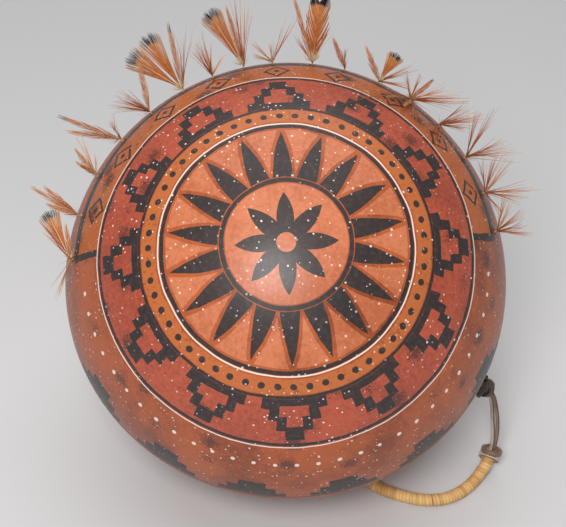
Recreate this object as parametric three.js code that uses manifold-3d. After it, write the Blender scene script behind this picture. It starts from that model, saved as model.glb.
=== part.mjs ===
// A painted gourd that lies on its back, with a crest of feather tufts and a wrapped loop handle on a lace.
// Millimetres. The origin is the middle of the flat spot the gourd rests on; +Z is up, the painted face
// looks up and towards -Y, and +X is the right side of the face.
import * as THREE from "three";
import { mergeVertices } from "three/addons/utils/BufferGeometryUtils.js";
import Module from "manifold-3d";

const wasm = await Module();
wasm.setup();

// Gourd
const HALF_WIDTH = 125;
const HALF_HEIGHT = 124;
const HALF_DEPTH = 121;
const GOURD_CENTRE = new THREE.Vector3(0, 3, 121.1);
const FACE_ELEVATION = 49; // degrees above the table
const FACE_ROLL = 3; // degrees, right side of the face raised
const SKIN_RIPPLE = 0.7;
const STEM_DIMPLE = 6;
const STEM_DIMPLE_SPREAD = 0.16; // radians
const STEM_RADIUS = 6.5;
const STEM_STUB = 5;
const GOURD_SIDES = 60;
const GOURD_RINGS = 36;

// Feather crest: holes along a circle round the face, each with one tuft
const CREST_POLAR = 67.5; // degrees from the middle of the face
const TUFT_HOLE_RADIUS = 2;
const TUFT_HOLE_DEPTH = 7;
const PLUG_RADIUS = 1.7;
const PLUG_DEPTH = 6;
const PLUG_RISE = 2.2;
const FEATHER_ROOT = 1.4; // height of the feather roots above the skin
const ALTERNATE_LEAN = 9; // degrees that every other tuft leans towards the face, and the rest away
const BLADE_THICKNESS = 0.8;
const QUILL_HALF = 0.7;
const BROAD_WIDTH = 12;
const NARROW_WIDTH = 4.2;
const WISP_ROOT = 0.7;
const WISP_TIP = 0.25;
const FEATHER_BEND = 0.1; // share of the length that a tip is bent out of its plane

// Half-width along a feather: [share of the length, share of the half-width]
const BROAD_OUTLINE = [[0, 0], [0.2, 0.12], [0.5, 0.5], [0.75, 0.85], [0.9, 1], [0.97, 0.8], [1, 0.3]];
const NARROW_OUTLINE = [[0, 0], [0.15, 0.3], [0.35, 0.8], [0.55, 1], [0.8, 0.7], [0.95, 0.35], [1, 0.1]];

// Tufts from the left end of the crest to the right one. Each feather is [kind, lean along the crest in
// degrees with + to the right, length, lean towards the face in degrees where it isn't the tuft's own].
const TUFTS = [
  { azimuth: -85, feathers: [["broad", 55, 29], ["narrow", 78, 20], ["wisp", 38, 25], ["wisp", -72, 25]] },
  { azimuth: -73, feathers: [["narrow", 14, 31], ["narrow", 24, 25], ["narrow", 2, 19]] },
  { azimuth: -61, feathers: [["narrow", 18, 20], ["wisp", 38, 25], ["wisp", 58, 13], ["narrow", 2, 14]] },
  { azimuth: -49, feathers: [["narrow", -21, 37], ["narrow", -32, 31], ["wisp", 20, 14]] },
  { azimuth: -38, feathers: [["narrow", 24, 29], ["wisp", -43, 24], ["wisp", -29, 22], ["wisp", -14, 21]] },
  { azimuth: -27, feathers: [["broad", -31, 35], ["broad", -6, 36], ["narrow", 16, 37], ["wisp", 32, 35]] },
  { azimuth: -18, feathers: [["wisp", -18, 22], ["wisp", -5, 25], ["wisp", 9, 19], ["wisp", 46, 14]] },
  { azimuth: -9, feathers: [["broad", -22, 36], ["narrow", -5, 35], ["wisp", 3, 38], ["wisp", 13, 33]] },
  { azimuth: -1, feathers: [["wisp", -66, 14], ["wisp", -44, 16], ["wisp", -3, 12], ["wisp", 31, 27]] },
  { azimuth: 10, feathers: [["narrow", -23, 38], ["broad", 0, 37], ["wisp", -40, 18], ["wisp", 17, 24]] },
  { azimuth: 19, feathers: [["narrow", -34, 19], ["wisp", -14, 12]] },
  { azimuth: 29, feathers: [["narrow", -46, 21], ["broad", 10, 18], ["wisp", 44, 22], ["wisp", 74, 19]] },
  {
    azimuth: 39,
    feathers: [
      ["wisp", -41, 16], ["wisp", -14, 15], ["narrow", 16, 18], ["wisp", 40, 23], ["wisp", 51, 34],
      ["wisp", 63, 32], ["wisp", -23, 58, 84], ["narrow", -12, 38, 84], ["narrow", 4, 34, 84],
      ["wisp", 20, 38, 84],
    ],
  },
  {
    azimuth: 49.5,
    feathers: [
      ["wisp", 8, 18], ["wisp", 25, 21], ["wisp", 38, 26], ["wisp", 56, 17],
      ["wisp", 4, 44, 84], ["wisp", 18, 36, 84],
    ],
  },
  { azimuth: 61, feathers: [["wisp", -41, 26], ["wisp", -21, 33], ["wisp", 16, 26], ["wisp", 28, 31]] },
  {
    azimuth: 72,
    feathers: [
      ["wisp", -72, 20], ["wisp", -50, 24], ["wisp", -27, 24], ["wisp", 19, 29], ["wisp", 33, 25],
      ["wisp", 74, 15],
    ],
  },
  {
    azimuth: 83,
    feathers: [["wisp", -64, 22], ["wisp", -47, 18], ["wisp", -19, 21], ["wisp", 4, 17], ["wisp", 19, 24]],
  },
];

// Lace and handle: two flat strands run from one hole, through the wrapped grip, to a hole under the gourd
const LACE_WIDTH = 3;
const LACE_THICKNESS = 1.5;
const STRAND_GAP = 0.3;
const LACE_HOLE_RADIUS = 3.3;
const LACE_HOLE_DEPTH = 12;
const STATION_STEP = 6; // distance between sections along the route
const GRIP_RADIUS = 3.6;
const GRIP_BORE_RADIUS = 2.65;
const GRIP_SIDES = 12;
const RING_SIDES = 18;
const LASHING_GAP = 0.95;
const LASHING_RADIUS = 6.7;
const LASHING_LENGTH = 7;
const LASHING_SETBACK = 2.2; // how far the lashing's middle is from the grip's end
const KNOT_BORE_RADIUS = 3.3;
const KNOT_RADIUS = 5.8;
const KNOT_LENGTH = 8;

// Points of the lace's middle line, hand-picked from the right-hand hole round to the hole underneath
const RIGHT_HOLE = new THREE.Vector3(107.8, -17, 62.8);
const RIGHT_HOLE_AXIS = new THREE.Vector3(0.872, -0.15, -0.466).normalize();
const UNDER_HOLE = new THREE.Vector3(80, -8.6, 29);
const UNDER_HOLE_AXIS = new THREE.Vector3(0, 0, -1);
const KNOT_FROM_RIGHT_HOLE = 12;
const KNOT_FROM_UNDER_HOLE = 10;
const ROUTE = [
  [100.8, -15.8, 66.5], [107.8, -17, 62.8], [114.3, -18.1, 59.3], [119.1, -19, 56.7], [122.5, -20.6, 51.5],
  [124.3, -22.6, 43.5], [125.5, -24.8, 34], [126, -26.8, 25], [125.4, -28.7, 17.5], [124, -31, 12],
  [121.5, -34.8, 8.4], [118.3, -38.8, 5.8], [114.2, -43.8, 4.3], [108.8, -49.6, 3.8], [101.6, -55.2, 3.8],
  [93.5, -58.7, 3.8], [85, -59.6, 3.8], [77, -58.6, 3.8], [69.2, -56.2, 3.8], [61, -53, 3.8],
  [53.8, -48.6, 3.8], [48.4, -42.8, 3.8], [45.8, -36, 3.8], [46.2, -28.8, 3.8], [49.6, -22.2, 3.9],
  [55.3, -17, 4.6], [61.8, -13.4, 6], [68.2, -11.2, 7], [73.4, -9.8, 8.2], [77.6, -9, 10.6],
  [79.6, -8.7, 14.5], [80, -8.6, 20], [80, -8.6, 29], [80, -8.6, 37],
].map((point) => new THREE.Vector3(...point));
const RIGHT_LASHING_POINT = 9; // index into ROUTE
const UNDER_LASHING_POINT = 26;

const radians = THREE.MathUtils.degToRad;

// Directions of the face: to its right, to its top and out of it
const roll = radians(FACE_ROLL);
const elevation = radians(FACE_ELEVATION);
const faceOut = new THREE.Vector3(0, -Math.cos(elevation), Math.sin(elevation));
const faceRight = new THREE.Vector3(1, 0, 0).applyAxisAngle(faceOut, roll);
const faceUp = new THREE.Vector3().crossVectors(faceOut, faceRight);
const facePlacement = new THREE.Matrix4().makeBasis(faceRight, faceUp, faceOut).setPosition(GOURD_CENTRE);

function solidOf(geometry) {
  const bare = geometry.clone();
  bare.deleteAttribute("normal");
  bare.deleteAttribute("uv");
  const welded = mergeVertices(bare, 1e-4);
  const vertProperties = Float32Array.from(welded.attributes.position.array);
  const triVerts = Uint32Array.from(welded.index.array);
  return new wasm.Manifold(new wasm.Mesh({ numProp: 3, vertProperties, triVerts }));
}

function geometryOf(solid) {
  const mesh = solid.getMesh();
  const geometry = new THREE.BufferGeometry();
  geometry.setAttribute("position", new THREE.Float32BufferAttribute(mesh.vertProperties, 3));
  geometry.setIndex(new THREE.BufferAttribute(mesh.triVerts, 1));
  geometry.computeVertexNormals();
  return geometry;
}

// Moves geometry so that its origin goes to a point and its Y axis points along a direction
function alongAxis(geometry, point, direction) {
  const turn = new THREE.Quaternion().setFromUnitVectors(new THREE.Vector3(0, 1, 0), direction);
  return geometry.applyQuaternion(turn).translate(point.x, point.y, point.z);
}

// Distance from the gourd's middle to its skin, for a direction given as right, up and out of the face
function skinDistance(direction) {
  const plain = 1 / Math.hypot(direction.x / HALF_WIDTH, direction.y / HALF_HEIGHT, direction.z / HALF_DEPTH);
  const around = Math.atan2(direction.x, direction.y);
  const belt = 1 - direction.z ** 2;
  const fromStem = Math.acos(THREE.MathUtils.clamp(-direction.z, -1, 1));
  const dimple = STEM_DIMPLE * Math.exp(-((fromStem / STEM_DIMPLE_SPREAD) ** 2));
  return plain + SKIN_RIPPLE * belt * Math.sin(3 * around + 0.6) - dimple;
}

// Point on the skin with its outward normal, the direction along the crest and the one towards the face
function skinFrame(polarDegrees, azimuthDegrees) {
  const polar = radians(polarDegrees);
  const azimuth = radians(azimuthDegrees);
  const local = new THREE.Vector3(
    Math.sin(polar) * Math.sin(azimuth),
    Math.sin(polar) * Math.cos(azimuth),
    Math.cos(polar),
  );
  const point = local.clone().multiplyScalar(skinDistance(local)).applyMatrix4(facePlacement);
  const normal = new THREE.Vector3(
    local.x / HALF_WIDTH ** 2,
    local.y / HALF_HEIGHT ** 2,
    local.z / HALF_DEPTH ** 2,
  );
  normal.transformDirection(facePlacement);
  const along = new THREE.Vector3(Math.cos(azimuth), -Math.sin(azimuth), 0).transformDirection(facePlacement);
  along.addScaledVector(normal, -along.dot(normal)).normalize();
  const toFace = new THREE.Vector3().crossVectors(normal, along);
  if (toFace.dot(faceOut) < 0) toFace.negate();
  return { point, normal, along, toFace };
}

function gourdGeometry() {
  const ball = new THREE.SphereGeometry(1, GOURD_SIDES, GOURD_RINGS).rotateX(Math.PI / 2);
  const position = ball.attributes.position;
  const vertex = new THREE.Vector3();
  for (let i = 0; i < position.count; i += 1) {
    vertex.fromBufferAttribute(position, i).normalize();
    vertex.multiplyScalar(skinDistance(vertex));
    position.setXYZ(i, vertex.x, vertex.y, vertex.z);
  }
  return ball.applyMatrix4(facePlacement);
}

function stemGeometry() {
  const stub = new THREE.CylinderGeometry(STEM_RADIUS * 0.8, STEM_RADIUS, STEM_STUB * 3, 14);
  const stemAxis = faceOut.clone().negate();
  const foot = GOURD_CENTRE.clone().addScaledVector(stemAxis, HALF_DEPTH - STEM_DIMPLE);
  return alongAxis(stub, foot.addScaledVector(stemAxis, -STEM_STUB * 0.5), stemAxis);
}

function roundHole(point, axis, radius, depth, sides) {
  const mouth = depth * 0.5;
  const drill = new THREE.CylinderGeometry(radius, radius, depth + mouth, sides);
  const middle = point.clone().addScaledVector(axis, (mouth - depth) / 2);
  return solidOf(alongAxis(drill, middle, axis));
}

function bendTip(geometry, length, bend) {
  const position = geometry.attributes.position;
  for (let i = 0; i < position.count; i += 1) {
    const share = Math.max(0, position.getY(i) / length);
    position.setZ(i, position.getZ(i) + bend * length * share ** 2);
  }
  return geometry;
}

function bladeGeometry(outline, length, width, bend) {
  const right = outline.map(
    ([share, spread]) => new THREE.Vector2(Math.max(QUILL_HALF, (spread * width) / 2), share * length),
  );
  const left = right.map((point) => new THREE.Vector2(-point.x, point.y)).reverse();
  const shape = new THREE.Shape([...right, ...left]);
  const blade = new THREE.ExtrudeGeometry(shape, { depth: BLADE_THICKNESS, bevelEnabled: false });
  return bendTip(blade.translate(0, 0, -BLADE_THICKNESS / 2), length, bend);
}

function wispGeometry(length, bend) {
  const needle = new THREE.CylinderGeometry(WISP_TIP, WISP_ROOT, length, 3, 3).translate(0, length / 2, 0);
  return bendTip(needle, length, bend);
}

function featherGeometry(kind, length, bend) {
  if (kind === "broad") return bladeGeometry(BROAD_OUTLINE, length, Math.min(BROAD_WIDTH, length * 0.5), bend);
  if (kind === "narrow") return bladeGeometry(NARROW_OUTLINE, length, NARROW_WIDTH, bend);
  return wispGeometry(length, bend);
}

// One tuft: its plug in the hole and the feathers that fan out of it, fused into one body
function tuftSolid(tuft, index) {
  const { point, normal, along, toFace } = skinFrame(CREST_POLAR, tuft.azimuth);
  const plug = new THREE.CylinderGeometry(PLUG_RADIUS, PLUG_RADIUS, PLUG_DEPTH + PLUG_RISE, 8);
  const plugMiddle = point.clone().addScaledVector(normal, (PLUG_RISE - PLUG_DEPTH) / 2);
  let solid = solidOf(alongAxis(plug, plugMiddle, normal));
  const root = point.clone().addScaledVector(normal, FEATHER_ROOT);
  tuft.feathers.forEach(([kind, leanAlong, length, leanToFace], place) => {
    const ownLean = index % 2 === 0 ? ALTERNATE_LEAN : -ALTERNATE_LEAN;
    const toFaceAngle = radians(leanToFace ?? ownLean);
    const alongAngle = radians(leanAlong);
    const direction = normal.clone().multiplyScalar(Math.cos(alongAngle) * Math.cos(toFaceAngle));
    direction.addScaledVector(toFace, Math.cos(alongAngle) * Math.sin(toFaceAngle));
    direction.addScaledVector(along, Math.sin(alongAngle));
    const across = along.clone().addScaledVector(direction, -along.dot(direction)).normalize();
    const outOfBlade = new THREE.Vector3().crossVectors(across, direction);
    const standingBend = place % 2 === 0 ? FEATHER_BEND : -FEATHER_BEND * 0.5;
    const skinBend = length / (2 * HALF_WIDTH); // keeps a feather that lies over the face close to the skin
    const bend = leanToFace === undefined ? standingBend : skinBend;
    const feather = featherGeometry(kind, length, bend);
    feather.applyMatrix4(new THREE.Matrix4().makeBasis(across, direction, outOfBlade).setPosition(root));
    solid = solid.add(solidOf(feather));
  });
  return solid;
}

// Lace route and the lengths along it
const route = new THREE.CatmullRomCurve3(ROUTE, false, "centripetal");
route.arcLengthDivisions = 800;
const routeLength = route.getLength();
const stations = Math.round(routeLength / STATION_STEP);
const station = routeLength / stations;

function lengthToPoint(index) {
  const divisions = route.arcLengthDivisions;
  return route.getLengths(divisions)[Math.round((index / (ROUTE.length - 1)) * divisions)];
}

function pointAtLength(length) {
  return route.getPointAt(length / routeLength);
}

function strandGeometry(side) {
  const middle = (side * (LACE_THICKNESS + STRAND_GAP)) / 2;
  const flat = LACE_THICKNESS / 2;
  const edge = LACE_WIDTH / 2;
  const cut = LACE_THICKNESS * 0.25;
  const corners = [
    [flat, edge - cut], [flat - cut, edge], [cut - flat, edge], [-flat, edge - cut],
    [-flat, cut - edge], [cut - flat, -edge], [flat - cut, -edge], [flat, cut - edge],
  ];
  const shape = new THREE.Shape(corners.map(([x, y]) => new THREE.Vector2(middle + x, y)));
  return new THREE.ExtrudeGeometry(shape, { steps: stations, bevelEnabled: false, extrudePath: route });
}

function circlePoints(radius, sides) {
  return new THREE.EllipseCurve(0, 0, radius, radius).getPoints(sides).slice(0, -1);
}

function gripGeometry(startLength, endLength) {
  const steps = Math.round((endLength - startLength) / station);
  const points = [];
  for (let i = 0; i <= steps * 3; i += 1) {
    points.push(pointAtLength(startLength + ((endLength - startLength) * i) / (steps * 3)));
  }
  const path = new THREE.CatmullRomCurve3(points, false, "centripetal");
  const shape = new THREE.Shape(circlePoints(GRIP_RADIUS, GRIP_SIDES));
  shape.holes.push(new THREE.Path(circlePoints(GRIP_BORE_RADIUS / Math.cos(Math.PI / 10), 10)));
  return new THREE.ExtrudeGeometry(shape, { steps, bevelEnabled: false, extrudePath: path });
}

// A ring round the lace or grip, turned from a closed profile of [radius, height] pairs
function ringGeometry(profile, length) {
  const points = [...profile, profile[0]].map(([radius, height]) => new THREE.Vector2(radius, height));
  const tangent = route.getTangentAt(length / routeLength);
  return alongAxis(new THREE.LatheGeometry(points, RING_SIDES), pointAtLength(length), tangent);
}

const facetedBore = 1 / Math.cos(Math.PI / RING_SIDES);
const lashingBore = (GRIP_RADIUS + LASHING_GAP) * facetedBore;
const halfLashing = LASHING_LENGTH / 2;
const LASHING_PROFILE = [
  [lashingBore, -halfLashing],
  [LASHING_RADIUS - 0.9, -halfLashing],
  [LASHING_RADIUS, -halfLashing * 0.72],
  [LASHING_RADIUS, -halfLashing * 0.28],
  [LASHING_RADIUS - 0.8, 0],
  [LASHING_RADIUS, halfLashing * 0.28],
  [LASHING_RADIUS, halfLashing * 0.72],
  [LASHING_RADIUS - 0.9, halfLashing],
  [lashingBore, halfLashing],
];
const knotBore = KNOT_BORE_RADIUS * facetedBore;
const halfKnot = KNOT_LENGTH / 2;
const KNOT_PROFILE = [
  [knotBore, -halfKnot],
  [KNOT_RADIUS - 1.5, -halfKnot],
  [KNOT_RADIUS, -halfKnot * 0.4],
  [KNOT_RADIUS, halfKnot * 0.4],
  [KNOT_RADIUS - 1.5, halfKnot],
  [knotBore, halfKnot],
];

const TUFT_COLOURS = { broad: 0xb9763a, narrow: 0xa8602c, wisp: 0xa65a2a };
const part = new THREE.Group();

function addNode(name, geometry, color, roughness) {
  const mesh = new THREE.Mesh(geometry, new THREE.MeshStandardMaterial({ color, roughness, metalness: 0 }));
  mesh.name = name;
  part.add(mesh);
}

let gourd = solidOf(gourdGeometry()).add(solidOf(stemGeometry()));
const table = new THREE.BoxGeometry(400, 400, 100).translate(0, 0, -50);
gourd = gourd.subtract(solidOf(table));
for (const tuft of TUFTS) {
  const { point, normal } = skinFrame(CREST_POLAR, tuft.azimuth);
  gourd = gourd.subtract(roundHole(point, normal, TUFT_HOLE_RADIUS, TUFT_HOLE_DEPTH, 10));
}
gourd = gourd.subtract(roundHole(RIGHT_HOLE, RIGHT_HOLE_AXIS, LACE_HOLE_RADIUS, LACE_HOLE_DEPTH, 14));
gourd = gourd.subtract(roundHole(UNDER_HOLE, UNDER_HOLE_AXIS, LACE_HOLE_RADIUS, LACE_HOLE_DEPTH, 14));
addNode("gourd", geometryOf(gourd), 0xb05c34, 0.4);

TUFTS.forEach((tuft, index) => {
  const name = `tuft_${String(index + 1).padStart(2, "0")}`;
  addNode(name, geometryOf(tuftSolid(tuft, index)), TUFT_COLOURS[tuft.feathers[0][0]], 0.8);
});

addNode("lace_strand_front", strandGeometry(1), 0x9a9080, 0.9);
addNode("lace_strand_back", strandGeometry(-1), 0x8a6a50, 0.9);

const gripStart = Math.round((lengthToPoint(RIGHT_LASHING_POINT) - LASHING_SETBACK) / station) * station;
const gripEnd = Math.round((lengthToPoint(UNDER_LASHING_POINT) + LASHING_SETBACK) / station) * station;
addNode("grip_wrap", gripGeometry(gripStart, gripEnd), 0xd2a468, 0.75);
addNode("lashing_right", ringGeometry(LASHING_PROFILE, gripStart + LASHING_SETBACK), 0x93887a, 0.9);
addNode("lashing_under", ringGeometry(LASHING_PROFILE, gripEnd - LASHING_SETBACK), 0x93887a, 0.9);
const rightKnotLength = ROUTE[0].distanceTo(RIGHT_HOLE) + KNOT_FROM_RIGHT_HOLE;
const underKnotLength = routeLength - ROUTE[ROUTE.length - 1].distanceTo(UNDER_HOLE) - KNOT_FROM_UNDER_HOLE;
addNode("knot_right", ringGeometry(KNOT_PROFILE, rightKnotLength), 0x5a4a3e, 0.9);
addNode("knot_under", ringGeometry(KNOT_PROFILE, underKnotLength), 0x5a4a3e, 0.9);

export default part;
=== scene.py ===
# %% [markdown]
# A painted gourd, dressed in Blender over its CAD frame.
# The gourd is one grown piece, coloured with paint and varnish. A crest of feather tufts stands in
# small holes over the top of its face, and a wrapped loop handle hangs on a suede lace at its right side.
# The CAD gives every place and size in metres, so each piece below is modelled where it belongs.

import math
import random

import bmesh
import bpy
from mathutils import Matrix, Vector


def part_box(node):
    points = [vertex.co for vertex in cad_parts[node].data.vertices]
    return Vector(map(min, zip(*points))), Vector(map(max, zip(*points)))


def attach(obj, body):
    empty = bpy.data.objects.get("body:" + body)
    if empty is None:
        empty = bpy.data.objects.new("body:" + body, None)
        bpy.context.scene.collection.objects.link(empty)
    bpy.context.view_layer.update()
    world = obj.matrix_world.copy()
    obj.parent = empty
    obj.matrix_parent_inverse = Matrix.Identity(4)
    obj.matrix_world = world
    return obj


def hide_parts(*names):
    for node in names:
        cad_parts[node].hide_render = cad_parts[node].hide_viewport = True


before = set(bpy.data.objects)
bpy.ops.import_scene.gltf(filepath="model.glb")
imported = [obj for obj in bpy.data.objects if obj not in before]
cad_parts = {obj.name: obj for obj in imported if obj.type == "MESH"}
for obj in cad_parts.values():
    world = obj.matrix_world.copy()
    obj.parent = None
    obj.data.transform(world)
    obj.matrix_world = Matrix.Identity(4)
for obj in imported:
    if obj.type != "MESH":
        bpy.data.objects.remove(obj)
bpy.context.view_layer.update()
MM = 0.001

# %% [markdown]
# The camera stands where the photograph was taken: about 40 degrees above the table and three gourd
# widths away. A long lens keeps the round body from bulging. The lens is worked out from the size of
# the gourd in the picture, and the aim from the pixel that its middle falls on.

# %% Camera
PICTURE_WIDTH = 566
PICTURE_HEIGHT = 527
GOURD_CENTRE = Vector((0, 3, 121.1)) * MM
GOURD_PIXEL = (286.5, 281)
FOCAL_PIXELS = 1304
CAMERA_DISTANCE = 0.75
CAMERA_ELEVATION = math.radians(40)
SENSOR_WIDTH = 36

camera_back = Vector((0, -math.cos(CAMERA_ELEVATION), math.sin(CAMERA_ELEVATION)))
camera_up = Vector((0, math.sin(CAMERA_ELEVATION), math.cos(CAMERA_ELEVATION)))
metres_per_pixel = CAMERA_DISTANCE / FOCAL_PIXELS
aim = GOURD_CENTRE + camera_up * (GOURD_PIXEL[1] - PICTURE_HEIGHT / 2) * metres_per_pixel
aim.x -= (GOURD_PIXEL[0] - PICTURE_WIDTH / 2) * metres_per_pixel

camera_data = bpy.data.cameras.new("photo_camera")
camera_data.sensor_fit = "HORIZONTAL"
camera_data.sensor_width = SENSOR_WIDTH
camera_data.lens = FOCAL_PIXELS * SENSOR_WIDTH / PICTURE_WIDTH
camera = bpy.data.objects.new("photo_camera", camera_data)
camera.location = GOURD_CENTRE + camera_back * CAMERA_DISTANCE
camera.rotation_euler = (aim - camera.location).to_track_quat("-Z", "Y").to_euler()
bpy.context.scene.collection.objects.link(camera)
bpy.context.scene.camera = camera
print("camera at", tuple(round(x, 3) for x in camera.location), "lens", round(camera_data.lens, 1), "mm")

# %% [markdown]
# The lace's route is the list of points from the CAD source. A Catmull-Rom curve goes
# smoothly through all of them, and it is then walked in even steps of a millimetre, so that a place
# on the lace is simply a number of steps from its start.

# %% Route of the lace
LACE_ROUTE = [
    (100.8, -15.8, 66.5), (107.8, -17, 62.8), (114.3, -18.1, 59.3), (119.1, -19, 56.7),
    (122.5, -20.6, 51.5), (124.3, -22.6, 43.5), (125.5, -24.8, 34), (126, -26.8, 25),
    (125.4, -28.7, 17.5), (124, -31, 12),
    (121.5, -34.8, 8.4), (118.3, -38.8, 5.8), (114.2, -43.8, 4.3), (108.8, -49.6, 3.8), (101.6, -55.2, 3.8),
    (93.5, -58.7, 3.8), (85, -59.6, 3.8), (77, -58.6, 3.8), (69.2, -56.2, 3.8), (61, -53, 3.8),
    (53.8, -48.6, 3.8), (48.4, -42.8, 3.8), (45.8, -36, 3.8), (46.2, -28.8, 3.8), (49.6, -22.2, 3.9),
    (55.3, -17, 4.6), (61.8, -13.4, 6), (68.2, -11.2, 7), (73.4, -9.8, 8.2), (77.6, -9, 10.6),
    (79.6, -8.7, 14.5), (80, -8.6, 20), (80, -8.6, 29), (80, -8.6, 37),
]
ROUTE_STEP = 1 * MM
CURVE_CUTS = 24


def catmull_rom(before, start, end, after, t):
    """A point between start and end on the smooth curve through four points."""
    line = (end - before) * t
    square = (2 * before - 5 * start + 4 * end - after) * t ** 2
    cube = (3 * start - before - 3 * end + after) * t ** 3
    return 0.5 * (2 * start + line + square + cube)


def even_route(corners, step):
    """Points a fixed step apart on a smooth curve through the corners."""
    fine = []
    last = len(corners) - 1
    for i in range(last):
        before = corners[max(i - 1, 0)]
        after = corners[min(i + 2, last)]
        for cut in range(CURVE_CUTS):
            fine.append(catmull_rom(before, corners[i], corners[i + 1], after, cut / CURVE_CUTS))
    fine.append(corners[last])
    even = [fine[0]]
    for point in fine[1:]:
        while (point - even[-1]).length >= step:
            even.append(even[-1] + (point - even[-1]).normalized() * step)
    return even


def carried_frames(points, first_side):
    """Along, side and up directions at each point, with the side carried on without twisting."""
    frames = []
    side = first_side
    for i in range(len(points)):
        along = (points[min(i + 1, len(points) - 1)] - points[max(i - 1, 0)]).normalized()
        side = (side - along * side.dot(along)).normalized()
        frames.append((along, side, along.cross(side)))
    return frames


route = even_route([Vector(corner) * MM for corner in LACE_ROUTE], ROUTE_STEP)
route_frames = carried_frames(route, Vector((0, -1, 0)))
print("lace route", len(route), "steps of", ROUTE_STEP, "m")

# %% [markdown]
# Many pieces here are strips: the lace, the turns of the lashings and the straw of the grip. Each is a
# small face that is extruded from place to place. The operator leaves the first face as one end cap and
# the last as the other, so the strip is a closed body with no gaps.

# %% Sweep a section along a path


def finished_piece(name, shape, material, smooth_angle):
    """Turns a bmesh into an object of the scene that rides on the gourd's one body."""
    bmesh.ops.recalc_face_normals(shape, faces=shape.faces)
    mesh = bpy.data.meshes.new(name)
    shape.to_mesh(mesh)
    shape.free()
    mesh.shade_smooth()
    mesh.set_sharp_from_angle(angle=math.radians(smooth_angle))
    piece = bpy.data.objects.new(name, mesh)
    piece.data.materials.append(material)
    bpy.context.scene.collection.objects.link(piece)
    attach(piece, "root")
    return piece


def nearest(points, spot):
    """Index of the point that is closest to a spot."""
    return min(range(len(points)), key=lambda i: (points[i] - spot).length_squared)


def sweep(shape, sections, note=None):
    """Extrudes one face through all the sections; note(vertex, section, corner) may mark vertices."""
    corners = [shape.verts.new(point) for point in sections[0]]
    face = shape.faces.new(corners)
    if note:
        for corner, vertex in enumerate(corners):
            note(vertex, 0, corner)
    for number in range(1, len(sections)):
        grown = bmesh.ops.extrude_face_region(shape, geom=[face])["geom"]
        face = next(item for item in grown if isinstance(item, bmesh.types.BMFace))
        for vertex in face.verts:
            corner = nearest(sections[number - 1], vertex.co)
            vertex.co = sections[number][corner]
            if note:
                note(vertex, number, corner)


def strip_section(centre, across, through, width, thickness):
    """Eight corners of a flat strip with its edges slightly rounded."""
    half_width = across * width / 2
    half_thickness = through * thickness / 2
    shares = [(1, 0.4), (0.74, 1), (-0.74, 1), (-1, 0.4), (-1, -0.4), (-0.74, -1), (0.74, -1), (1, -0.4)]
    return [centre + half_width * x + half_thickness * y for x, y in shares]


print("strip tools ready")

# %% [markdown]
# A node material is easiest to read as a formula. Field wraps one output of the node tree: adding or
# multiplying Fields adds Math nodes. That keeps long patterns, such as the painted design, readable.

# %% Formulas made of shader nodes


class Field:
    """A number that changes over the surface, held as an output socket of a node tree."""

    def __init__(self, tree, socket):
        self.tree = tree
        self.socket = socket

    def math(self, operation, *others):
        node = self.tree.nodes.new("ShaderNodeMath")
        node.operation = operation
        for place, value in zip(node.inputs, (self, *others)):
            connect(self.tree, value, place)
        return Field(self.tree, node.outputs[0])

    def __add__(self, other):
        return self.math("ADD", other)

    def __sub__(self, other):
        return self.math("SUBTRACT", other)

    def __mul__(self, other):
        return self.math("MULTIPLY", other)

    def __truediv__(self, other):
        return self.math("DIVIDE", other)

    def wrapped(self):
        """The part after the decimal point, from 0 to 1."""
        return self.math("FRACT")

    def floor(self):
        return self.math("FLOOR")

    def absolute(self):
        return self.math("ABSOLUTE")

    def opposite(self):
        """1 where this is 0, and 0 where it is 1."""
        return self.math("MULTIPLY_ADD", -1, 1)

    def either(self, other):
        return self.math("MAXIMUM", other)

    def ramp(self, low, high):
        """Rises smoothly from 0 at low to 1 at high; falls where low is the larger."""
        node = self.tree.nodes.new("ShaderNodeMapRange")
        node.interpolation_type = "SMOOTHSTEP"
        connect(self.tree, self, node.inputs["Value"])
        turned = low > high
        node.inputs["From Min"].default_value = min(low, high)
        node.inputs["From Max"].default_value = max(low, high)
        node.inputs["To Min"].default_value = 1 if turned else 0
        node.inputs["To Max"].default_value = 0 if turned else 1
        return Field(self.tree, node.outputs["Result"])

    def above(self, edge):
        return self.math("GREATER_THAN", edge)

    def below(self, edge):
        return self.math("LESS_THAN", edge)

    def between(self, low, high):
        return self.above(low) * self.below(high)


def connect(tree, value, place):
    """Links a Field to a socket, or sets the socket to a plain value."""
    if isinstance(value, Field):
        tree.links.new(value.socket, place)
    else:
        place.default_value = value


def new_material(name):
    """An empty node material, with its tree, its Principled shader and the Object coordinates."""
    material = bpy.data.materials.new(name)
    material.use_nodes = True
    tree = material.node_tree
    shader = tree.nodes["Principled BSDF"]
    coordinates = tree.nodes.new("ShaderNodeTexCoord").outputs["Object"]
    return material, tree, shader, coordinates


def noise(tree, vector, scale, detail=2, roughness=0.5):
    """Soft random field, scale in cells a metre."""
    node = tree.nodes.new("ShaderNodeTexNoise")
    tree.links.new(vector, node.inputs["Vector"])
    node.inputs["Scale"].default_value = scale
    node.inputs["Detail"].default_value = detail
    node.inputs["Roughness"].default_value = roughness
    return Field(tree, node.outputs["Fac"])


def mixed(tree, first, second, share):
    """Colour between two colours or colour sockets; share is a Field from 0 to 1."""
    node = tree.nodes.new("ShaderNodeMix")
    node.data_type = "RGBA"
    node.clamp_factor = True
    tree.links.new(share.socket, node.inputs["Factor"])
    colour_inputs = [place for place in node.inputs if place.type == "RGBA"]
    for value, place in zip((first, second), colour_inputs):
        if isinstance(value, bpy.types.NodeSocket):
            tree.links.new(value, place)
        else:
            place.default_value = value
    return next(out for out in node.outputs if out.type == "RGBA")


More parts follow.
